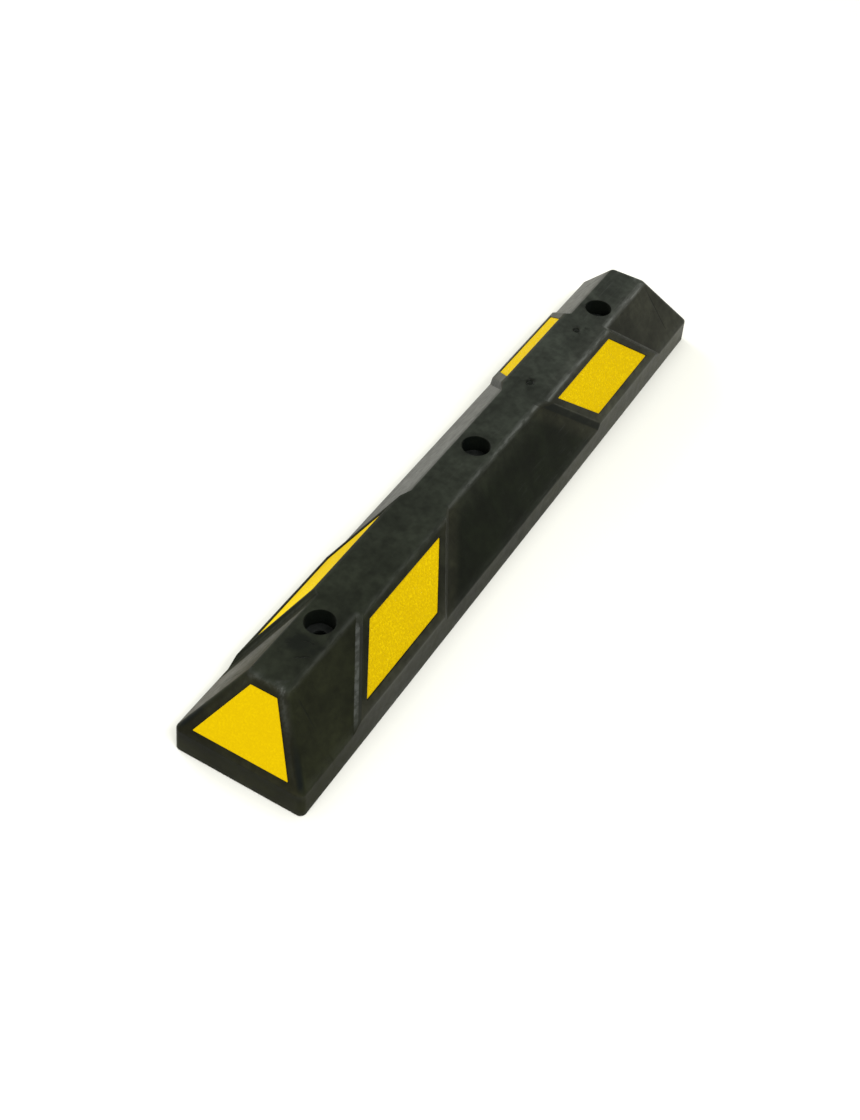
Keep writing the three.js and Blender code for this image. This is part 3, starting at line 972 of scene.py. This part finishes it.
def rubber_material():
    s = Shader("black_rubber")
    x, y, z = s.coordinates()
    normal = s.facing()
    up = s.ramp(normal[2], 0.75, 0.98)
    rearward = s.ramp(x, -330, 200)
    patches = s.noise(45, 3, warp=0.5)
    mottle = s.noise(9, 4)
    crumb = s.noise(1.5, 3)
    grain = s.noise(0.7, 2)
    dents = s.math("MULTIPLY", largest(s, [dent(s, spec) for spec in DENTS]), up)
    smudges = s.math("MULTIPLY", largest(s, [smudge(s, spec) for spec in SMUDGES]), up)

    shade = s.ramp(patches, 0.3, 0.7, 0.70, 1.30)
    shade = s.math("MULTIPLY", shade, s.ramp(mottle, 0.3, 0.7, 0.80, 1.20))
    colour = s.vector("MULTIPLY", rubber_tone(s), shade)
    specks = s.ramp(crumb, 0.60, 0.74, 0.0, 0.2)
    colour = s.mix(specks, colour, SPECK)

    # pale dust on the middle of the left slope
    left_slope = s.ramp(normal[1], *LEFT_SLOPE)
    dust = s.math("MULTIPLY", left_slope, s.ramp(x, -120, -30))
    dust = s.math("MULTIPLY", dust, s.ramp(x, -30, 90, 1.0, 0.0))
    dust = s.math("MULTIPLY", dust, s.ramp(z, 34, 60))
    dust = s.math("MULTIPLY", dust, s.ramp(s.noise(20, 5, rough=0.7), 0.35, 0.6, 0.2, 1.0))
    colour = s.mix(dust, colour, SLOPE_DUST)

    # painted brownish sheen on the left slope beside the front end
    painted_sheen = s.math("MULTIPLY", left_slope, s.ramp(x, -300, -260, 1.0, 0.0))
    place = leaning_place(s, x, z)
    painted_sheen = s.math("MULTIPLY", painted_sheen, s.ramp(place, *BEYOND_PADS))
    painted_sheen = s.math("MULTIPLY", painted_sheen, s.ramp(normal[2], 0.20, 0.45))
    painted_sheen = s.math("MULTIPLY", painted_sheen, s.ramp(normal[2], 0.80, 0.90, 1.0, 0.0))
    sheen_brown = s.mix(s.ramp(x, -385, -335), GRAZING_SHEEN_FRONT, GRAZING_SHEEN_REAR)
    sheen_patches = s.ramp(s.noise(28, 4, rough=0.6), 0.30, 0.60, 0.45, 1.0)
    colour = s.mix(s.math("MULTIPLY", painted_sheen, sheen_patches), colour, sheen_brown)

    # pale scuffs, mostly towards the rear, and beside the right ridge of the top
    streaks = s.ramp(s.noise(1.6, 3, (26, 1, 1)), 0.58, 0.70)
    scuffed = s.math("MULTIPLY", s.ramp(s.noise(70, 3, warp=0.8), 0.50, 0.62), rearward)
    beside_ridge = s.math("MULTIPLY", s.ramp(x, 80, 160), s.ramp(y, -22, -12, 1.0, 0.0))
    scuffed = s.math("MAXIMUM", scuffed, s.math("MULTIPLY", beside_ridge, up))
    scuffs = s.math("MULTIPLY", s.math("MULTIPLY", streaks, scuffed), 0.35)
    colour = s.mix(scuffs, colour, SCUFF)

    # wear and painted highlight on the edges, painted shade in steps, creases and holes, smudges, and
    # painted shade in the dents
    breaks = s.ramp(s.noise(5, 5, (5, 1, 1), 0.7), 0.42, 0.58, 0.40, 1.05)
    wear_and_painted_light = s.attribute("wear_and_painted_light")
    worn_and_highlit = s.math("MULTIPLY", s.math("MAXIMUM", wear_and_painted_light, 0.0), breaks)
    painted_shade = s.math("MAXIMUM", s.math("MULTIPLY", wear_and_painted_light, -1.0), 0.0)
    bare_and_highlight = s.mix(s.ramp(x, 260, 350), BARE_AND_HIGHLIGHT, BARE_AND_HIGHLIGHT_REAR)
    colour = s.mix(worn_and_highlit, colour, bare_and_highlight)
    colour = s.mix(painted_shade, colour, PAINTED_SHADE_COLOUR)
    colour = s.mix(smudges, colour, SMUDGE)
    colour = s.mix(s.math("MULTIPLY", dents, 0.8), colour, DENT_SHADE)
    s.put(s.bsdf.inputs["Base Color"], colour)

    # roughness: higher on scuffs, at the front, on walls and on parts of the left side
    rough = s.ramp(mottle, 0.3, 0.7, 0.32, 0.40)
    rough = s.math("ADD", rough, s.math("MULTIPLY", scuffs, 0.2))
    leftward = s.ramp(normal[1], 0.2, 0.6)
    dusty = s.math("SUBTRACT", 1.0, s.math("MULTIPLY", leftward, s.ramp(z, 55, 92, 1.0, 0.0)))
    rough = s.math("ADD", rough, s.math("MULTIPLY", dusty, s.ramp(x, -450, -270, 0.22, 0.0)))
    middle = s.math("MULTIPLY", s.ramp(x, -300, -200), s.ramp(x, 60, 160, 0.06, 0.0))
    upright = s.ramp(normal[2], *UPRIGHT, 1.0, 0.0)
    rough = s.math("ADD", rough, s.math("MULTIPLY", middle, upright))
    raised = s.attribute("raised")
    shoulder = s.math("MULTIPLY", s.ramp(z, 87, 96), s.math("MULTIPLY_ADD", raised, 0.4, third=0.12))
    pads = s.math("MULTIPLY", s.ramp(raised, 0.0, 0.03), s.ramp(x, -60, 60, 0.6, 0.12))
    foot = s.math("MULTIPLY", s.ramp(place, *BEYOND_PADS, 1.0, 0.0), s.ramp(x, -260, -200, 0.6, 0.0))
    coarse = s.math("MULTIPLY", leftward, largest(s, [shoulder, pads, foot]))
    rough = s.math("ADD", rough, coarse)
    rough = s.math("ADD", rough, s.math("MULTIPLY", painted_sheen, 0.03))
    s.put(s.bsdf.inputs["Roughness"], rough)
    s.bsdf.inputs["Specular IOR Level"].default_value = 0.05
    s.bsdf.inputs["Sheen Weight"].default_value = 0.02
    s.bsdf.inputs["Sheen Roughness"].default_value = 0.35
    s.bsdf.inputs["Sheen Tint"].default_value = (0.98, 1.0, 0.84, 1.0)

    swell = s.bump(s.noise(38, 2), 0.9, 0.6)
    skin = s.bump(mottle, 0.2, 0.5, swell)
    crumbs = s.bump(crumb, 0.10, 0.5, skin)
    fine = s.bump(grain, 0.05, 0.5, crumbs)
    s.put(s.bsdf.inputs["Normal"], s.bump(s.math("SUBTRACT", 1.0, dents), 0.5, 0.6, fine))
    return s.material


# The panels' colours, linear.
YELLOW = (0.530, 0.358, 0.0002)
YELLOW_FLECK = (0.665, 0.470, 0.0010)
YELLOW_CLOUD = (0.53, 0.35, 0.0003)
YELLOW_PAINTED_LIGHT = (0.84, 0.62, 0.0040)
YELLOW_RIM = (0.42, 0.26, 0.0003)
PANEL_SHADE_BLACK = (0.0, 0.0, 0.0)

PANEL_SIDES = (380, 400)    # from the middle: the side panels lie nearer, the end panels farther


def panel_material():
    s = Shader("yellow_reflector")
    x = s.coordinates()[0]
    on_side = s.ramp(s.math("ABSOLUTE", x), *PANEL_SIDES, 1.0, 0.0)
    relief = s.ramp(s.math("ABSOLUTE", x), *PANEL_SIDES, 1.0, 0.35)   # the end panels are smoother
    beads = s.cells(2.4)
    normal = s.facing()
    peel = s.noise(2.3, 2, rough=0.5)
    cloud = s.noise(30, 3)
    flecks = s.math("MULTIPLY", s.ramp(peel, 0.44, 0.72), relief)
    colour = s.mix(flecks, YELLOW, YELLOW_FLECK)
    colour = s.mix(s.ramp(cloud, 0.35, 0.7, 0.0, 0.4), colour, YELLOW_CLOUD)
    leftward = s.ramp(normal[1], 0.1, 0.4)
    # painted light: the front panels facing left are made brighter
    painted_light = s.math("MULTIPLY", leftward, s.ramp(x, -320, -200, 0.65, 0.1))
    colour = s.mix(painted_light, colour, YELLOW_PAINTED_LIGHT)
    # painted shade: the side panels darker towards the front, except where they face left
    shade = s.math("MULTIPLY", s.ramp(x, -300, -60, 0.10, 0.0), on_side)
    shade = s.math("MULTIPLY", shade, s.math("SUBTRACT", 1.0, leftward))
    colour = s.mix(shade, colour, PANEL_SHADE_BLACK)
    # painted shade: a darker orange rim along the panels' edges, less on the panels facing left
    edge = s.math("MULTIPLY", s.attribute("wear_and_painted_light"), s.ramp(s.noise(7, 3), 0.3, 0.6, 0.5, 1.0))
    rim = s.math("MULTIPLY", edge, s.math("SUBTRACT", 0.35, s.math("MULTIPLY", leftward, 0.3)))
    colour = s.mix(rim, colour, YELLOW_RIM)
    s.put(s.bsdf.inputs["Base Color"], colour)
    s.put(s.bsdf.inputs["Roughness"], s.ramp(peel, 0.3, 0.7, 0.60, 0.75))
    s.bsdf.inputs["Specular IOR Level"].default_value = 0.02
    rumple = s.bump(s.math("MULTIPLY", peel, relief), 1.5, 1.0)
    beading = s.math("MULTIPLY", beads, relief)
    s.put(s.bsdf.inputs["Normal"], s.bump(beading, 0.6, 0.6, rumple))
    return s.material


# The washers' and the floor's colours, linear.
STEEL_DARK = (0.008, 0.010, 0.009)
STEEL_PALE = (0.013, 0.015, 0.014)
FLOOR_DARK = (0.81, 0.81, 0.78)
FLOOR_PALE = (0.83, 0.83, 0.80)


def steel_material():
    s = Shader("dull_steel")
    stain = s.noise(6, 4)
    colour = s.mix(s.ramp(stain, 0.35, 0.7), STEEL_DARK, STEEL_PALE)
    s.put(s.bsdf.inputs["Base Color"], colour)
    s.bsdf.inputs["Metallic"].default_value = 0.5
    s.put(s.bsdf.inputs["Roughness"], s.ramp(stain, 0.3, 0.7, 0.5, 0.7))
    s.put(s.bsdf.inputs["Normal"], s.bump(s.noise(0.8, 3), 0.06, 0.5))
    return s.material


def floor_material():
    s = Shader("pale_floor")
    colour = s.mix(s.noise(400, 2), FLOOR_DARK, FLOOR_PALE)
    s.put(s.bsdf.inputs["Base Color"], colour)
    s.bsdf.inputs["Roughness"].default_value = 0.9
    s.bsdf.inputs["Specular IOR Level"].default_value = 0.2
    return s.material


# ---- studio --------------------------------------------------------------------------------------

CAMERA_AT = (-1.0835, -0.4901, 1.1472)
CAMERA_HEADING = 26.14      # degrees from +X towards +Y
CAMERA_TILT = 46.09         # degrees below level
CAMERA_ROLL = 5.99
CAMERA_LENS = 46.2
CAMERA_FAR = 50

SKY_COLOUR = (1.0, 0.995, 0.91, 1.0)
SKY_STRENGTH = 0.90
SOFTBOX_DISTANCE = 3.2      # metres from the middle of the object
FLOOR_HALF = 9000.0         # millimetres


def aim(obj, heading, tilt, roll=0.0):
    """Points an object's -Z along a heading and down by a tilt, degrees."""
    turn = Matrix.Rotation(math.radians(heading - 90), 4, "Z")
    nod = Matrix.Rotation(math.radians(90 - tilt), 4, "X")
    spin = Matrix.Rotation(math.radians(roll), 4, "Z")
    obj.matrix_world = Matrix.Translation(obj.location) @ turn @ nod @ spin


def add_camera():
    camera = bpy.data.objects.new("camera", bpy.data.cameras.new("camera"))
    camera.data.lens = CAMERA_LENS
    camera.data.clip_end = CAMERA_FAR
    camera.location = CAMERA_AT
    aim(camera, CAMERA_HEADING, CAMERA_TILT, CAMERA_ROLL)
    bpy.context.scene.collection.objects.link(camera)
    bpy.context.scene.camera = camera


def add_softbox(name, direction, lit, size):
    """A large lamp that gives a surface facing it the brightness `lit`, 1 being full white."""
    light = bpy.data.lights.new(name, "AREA")
    light.shape = "RECTANGLE"
    light.size, light.size_y = size
    light.energy = lit * (math.pi * SOFTBOX_DISTANCE) ** 2
    lamp = bpy.data.objects.new(name, light)
    towards = Vector(direction).normalized()
    lamp.location = towards * SOFTBOX_DISTANCE
    heading = math.degrees(math.atan2(-towards.y, -towards.x))
    tilt = math.degrees(math.asin(towards.z))
    aim(lamp, heading, tilt)
    bpy.context.scene.collection.objects.link(lamp)


def add_studio():
    scene = bpy.context.scene
    world = bpy.data.worlds.new("studio")
    scene.world = world
    world.use_nodes = True
    sky = world.node_tree.nodes["Background"]
    sky.inputs["Color"].default_value = SKY_COLOUR
    sky.inputs["Strength"].default_value = SKY_STRENGTH
    scene.view_settings.view_transform = "Standard"
    add_softbox("front_softbox", (-0.28, -0.54, 0.79), 0.52, (1.5, 0.8))
    add_softbox("end_softbox", (-0.86, -0.05, 0.50), 0.22, (1.5, 0.8))
    add_softbox("left_softbox", (0.25, 0.85, 0.45), 0.50, (1.8, 1.0))

    mesh = Mesh()
    corners = [(x * FLOOR_HALF, y * FLOOR_HALF, 0) for x, y in ((-1, -1), (1, -1), (1, 1), (-1, 1))]
    mesh.bm.faces.new(mesh.ring(corners))
    mesh.finish("floor", floor_material())


# ---- assembly ------------------------------------------------------------------------------------

def main():
    add_camera()
    add_studio()
    rubber, yellow, steel = rubber_material(), panel_material(), steel_material()

    body = build_body(rubber)
    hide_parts("rubber_body")
    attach(body, "root")

    for node in sorted(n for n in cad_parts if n.startswith("reflector_")):
        panel = build_panel(node, yellow)
        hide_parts(node)
        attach(panel, "root")

    for place, x in zip(("front", "centre", "rear"), HOLE_X):
        node = "seat_washer_" + place
        washer = build_washer(node, x, steel)
        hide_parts(node)
        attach(washer, "root")


main()
